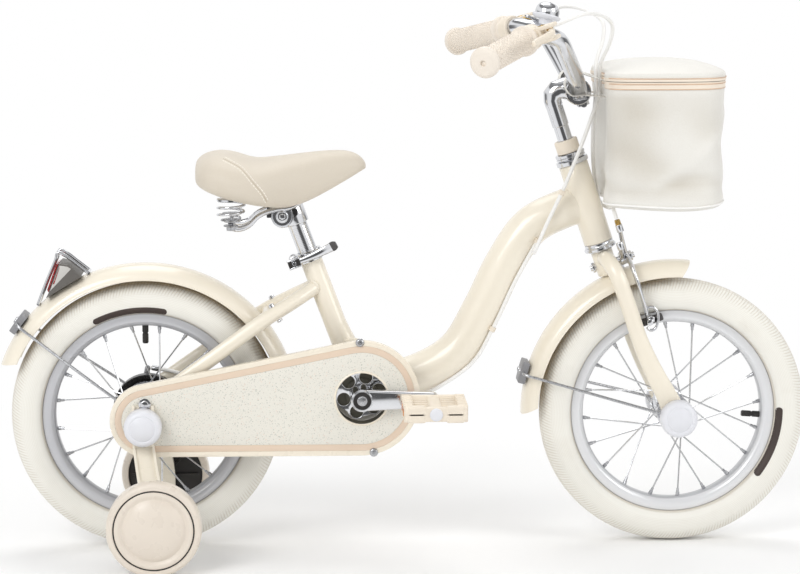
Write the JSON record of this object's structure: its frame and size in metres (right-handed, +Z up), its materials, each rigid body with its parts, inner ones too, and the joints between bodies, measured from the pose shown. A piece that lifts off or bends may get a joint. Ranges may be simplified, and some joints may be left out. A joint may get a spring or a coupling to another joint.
{
  "type": "kids bike with training wheels",
  "caption": "Step-through kids bike with curved main tube, fat tyres, full fenders, closed chain guard, training wheels, sprung saddle and a soft bag on the handlebar.",
  "frame": {"origin": "the point where the rear tyre stands on the ground", "axes": "+X forward, +Y to the rider's left, +Z up"},
  "size_m": [1.0508, 0.5212, 0.7044],
  "materials": {
    "cream_paint": "gloss ivory paint",
    "tyre_rubber": "off-white rubber with fine tread",
    "rim_metal": "silver grey, half gloss",
    "chrome": "mirror bright",
    "steel": "zinc plated",
    "black_steel": "black, half gloss",
    "beige_rubber": "pale beige, patterned",
    "beige_plastic": "pale beige",
    "white_plastic": "white gloss",
    "guard_plastic": "cream, half gloss",
    "grey_plastic": "grey",
    "dark_plastic": "dark brown",
    "red_lens": "clear red with a prism pattern",
    "saddle_leather": "beige leatherette with a stitched seam",
    "bag_leather": "off-white leatherette"
  },
  "bodies": {
    "frame": {"frame": "cream_paint", "bottom_bracket": "steel", "headset_lower": "chrome", "headset_upper": "chrome", "chain_guard": "guard_plastic", "chain": "steel", "rear_axle": "steel", "training_wheel_bracket_right": "cream_paint", "training_wheel_bracket_left": "cream_paint", "rear_axle_cap_right": "white_plastic", "rear_axle_cap_left": "white_plastic", "rear_fender": "cream_paint", "rear_fender_stay": "grey_plastic", "tail_reflector_housing": "dark_plastic", "tail_reflector_lens": "red_lens", "tail_reflector_guard": "chrome", "band_brake_cover": "black_steel", "seat_collar": "black_steel", "rear_brake_cable": "white_plastic"},
    "steering": {"fork": "cream_paint", "headset_cover": "cream_paint", "stem": "chrome", "handlebar": "chrome", "grip_right": "beige_rubber", "grip_left": "beige_rubber", "lever_clamp_right": "beige_plastic", "lever_clamp_left": "beige_plastic", "bell": "chrome", "front_fender": "cream_paint", "front_fender_stay": "grey_plastic", "front_axle_and_caps": "white_plastic", "caliper_bolt": "chrome", "front_brake_cable": "white_plastic", "bag_body": "bag_leather"},
    "front_wheel": {"front_tyre": "tyre_rubber", "front_rim": "rim_metal", "front_hub_and_spokes": "steel"},
    "rear_wheel": {"rear_tyre": "tyre_rubber", "rear_rim": "rim_metal", "rear_hub_and_spokes": "steel"},
    "freewheel": {"freewheel": "steel"},
    "crank": {"chainring": "black_steel", "crank_right": "chrome", "crank_left": "chrome"},
    "pedal_right": {"pedal_right": "beige_plastic"},
    "pedal_left": {"pedal_left": "beige_plastic"},
    "training_wheel_right": {"training_wheel_right": "guard_plastic"},
    "training_wheel_left": {"training_wheel_left": "guard_plastic"},
    "saddle": {"saddle_cushion": "saddle_leather", "saddle_undercarriage": "chrome", "seat_post": "chrome"},
    "seat_collar_lever": {"seat_collar_lever": "chrome"},
    "brake_lever_right": {"brake_lever_right": "beige_plastic"},
    "brake_lever_left": {"brake_lever_left": "beige_plastic"},
    "caliper_right": {"caliper_arm_right": "chrome"},
    "caliper_left": {"caliper_arm_left": "chrome"},
    "band_brake_arm": {"band_brake_arm": "steel"},
    "bell_striker": {"bell_striker": "chrome"},
    "bag_lid": {"bag_lid": "bag_leather"}
  },
  "joints": [
    {"name": "steering", "type": "hinge", "parent": "frame", "child": "steering", "pos_m": [0.66719, 0, 0.1677], "axis": [-0.3173, 0, 0.9483], "range_deg": [-50, 50], "deforming": ["rear_brake_cable"]},
    {"name": "front_wheel", "type": "hinge", "parent": "steering", "child": "front_wheel", "pos_m": [0.689, 0, 0.175], "axis": [0, 1, 0], "continuous": true},
    {"name": "rear_wheel", "type": "hinge", "parent": "frame", "child": "rear_wheel", "pos_m": [0, 0, 0.175], "axis": [0, 1, 0], "continuous": true},
    {"name": "crank", "type": "hinge", "parent": "frame", "child": "crank", "pos_m": [0.279, 0, 0.207], "axis": [0, 1, 0], "continuous": true, "deforming": ["chain"]},
    {"name": "freewheel", "type": "hinge", "parent": "frame", "child": "freewheel", "pos_m": [0, 0, 0.175], "axis": [0, 1, 0], "continuous": true, "deforming": ["chain"]},
    {"name": "pedal_right", "type": "hinge", "parent": "crank", "child": "pedal_right", "pos_m": [0.368, -0.142, 0.207], "axis": [0, 1, 0], "continuous": true},
    {"name": "pedal_left", "type": "hinge", "parent": "crank", "child": "pedal_left", "pos_m": [0.19, 0.124, 0.207], "axis": [0, 1, 0], "continuous": true},
    {"name": "training_wheel_right", "type": "hinge", "parent": "frame", "child": "training_wheel_right", "pos_m": [0.016, -0.16, 0.06], "axis": [0, 1, 0], "continuous": true},
    {"name": "training_wheel_left", "type": "hinge", "parent": "frame", "child": "training_wheel_left", "pos_m": [0.016, 0.16, 0.06], "axis": [0, 1, 0], "continuous": true},
    {"name": "saddle_height", "type": "slide", "parent": "frame", "child": "saddle", "axis": [-0.3502, 0, 0.9367], "range_m": [-0.02, 0.045]},
    {"name": "seat_collar_lever", "type": "hinge", "parent": "frame", "child": "seat_collar_lever", "pos_m": [0.19375, -0.0213, 0.37477], "axis": [0, 1, 0], "range_deg": [-30, 52]},
    {"name": "brake_lever_right", "type": "hinge", "parent": "steering", "child": "brake_lever_right", "pos_m": [0.50991, -0.14856, 0.67723], "axis": [0.3173, 0, -0.9483], "range_deg": [0, 13], "stiffness_Nm_per_rad": 0.5, "deforming": ["rear_brake_cable"]},
    {"name": "brake_lever_left", "type": "hinge", "parent": "steering", "child": "brake_lever_left", "pos_m": [0.50991, 0.14856, 0.67723], "axis": [-0.3173, 0, 0.9483], "range_deg": [0, 13], "stiffness_Nm_per_rad": 0.5, "deforming": ["front_brake_cable"]},
    {"name": "caliper_right", "type": "hinge", "parent": "steering", "child": "caliper_right", "pos_m": [0.62078, 0, 0.37573], "axis": [0.9483, 0, 0.3173], "range_deg": [0, 1.5], "deforming": ["front_brake_cable"]},
    {"name": "caliper_left", "type": "hinge", "parent": "steering", "child": "caliper_left", "pos_m": [0.62078, 0, 0.37573], "axis": [-0.9483, 0, -0.3173], "range_deg": [0, 1.5], "deforming": ["front_brake_cable"]},
    {"name": "band_brake_arm", "type": "hinge", "parent": "frame", "child": "band_brake_arm", "pos_m": [-0.00516, 0.0485, 0.20166], "axis": [0, 1, 0], "range_deg": [0, 6], "deforming": ["rear_brake_cable"]},
    {"name": "bell_striker", "type": "hinge", "parent": "steering", "child": "bell_striker", "pos_m": [0.5286, 0.11122, 0.67567], "axis": [0.3508, 0.2205, 0.9101], "range_deg": [0, 17], "stiffness_Nm_per_rad": 0.02},
    {"name": "bag_lid", "type": "hinge", "parent": "steering", "child": "bag_lid", "pos_m": [0.7522, 0, 0.61215], "axis": [0, 1, 0], "range_deg": [0, 110]}
  ],
  "couplings": [
    {"joint": "freewheel", "follows": "crank", "ratio": 1.75},
    {"joint": "caliper_right", "follows": "brake_lever_left", "ratio": 0.11},
    {"joint": "caliper_left", "follows": "brake_lever_left", "ratio": 0.11},
    {"joint": "band_brake_arm", "follows": "brake_lever_right", "ratio": 0.45}
  ]
}
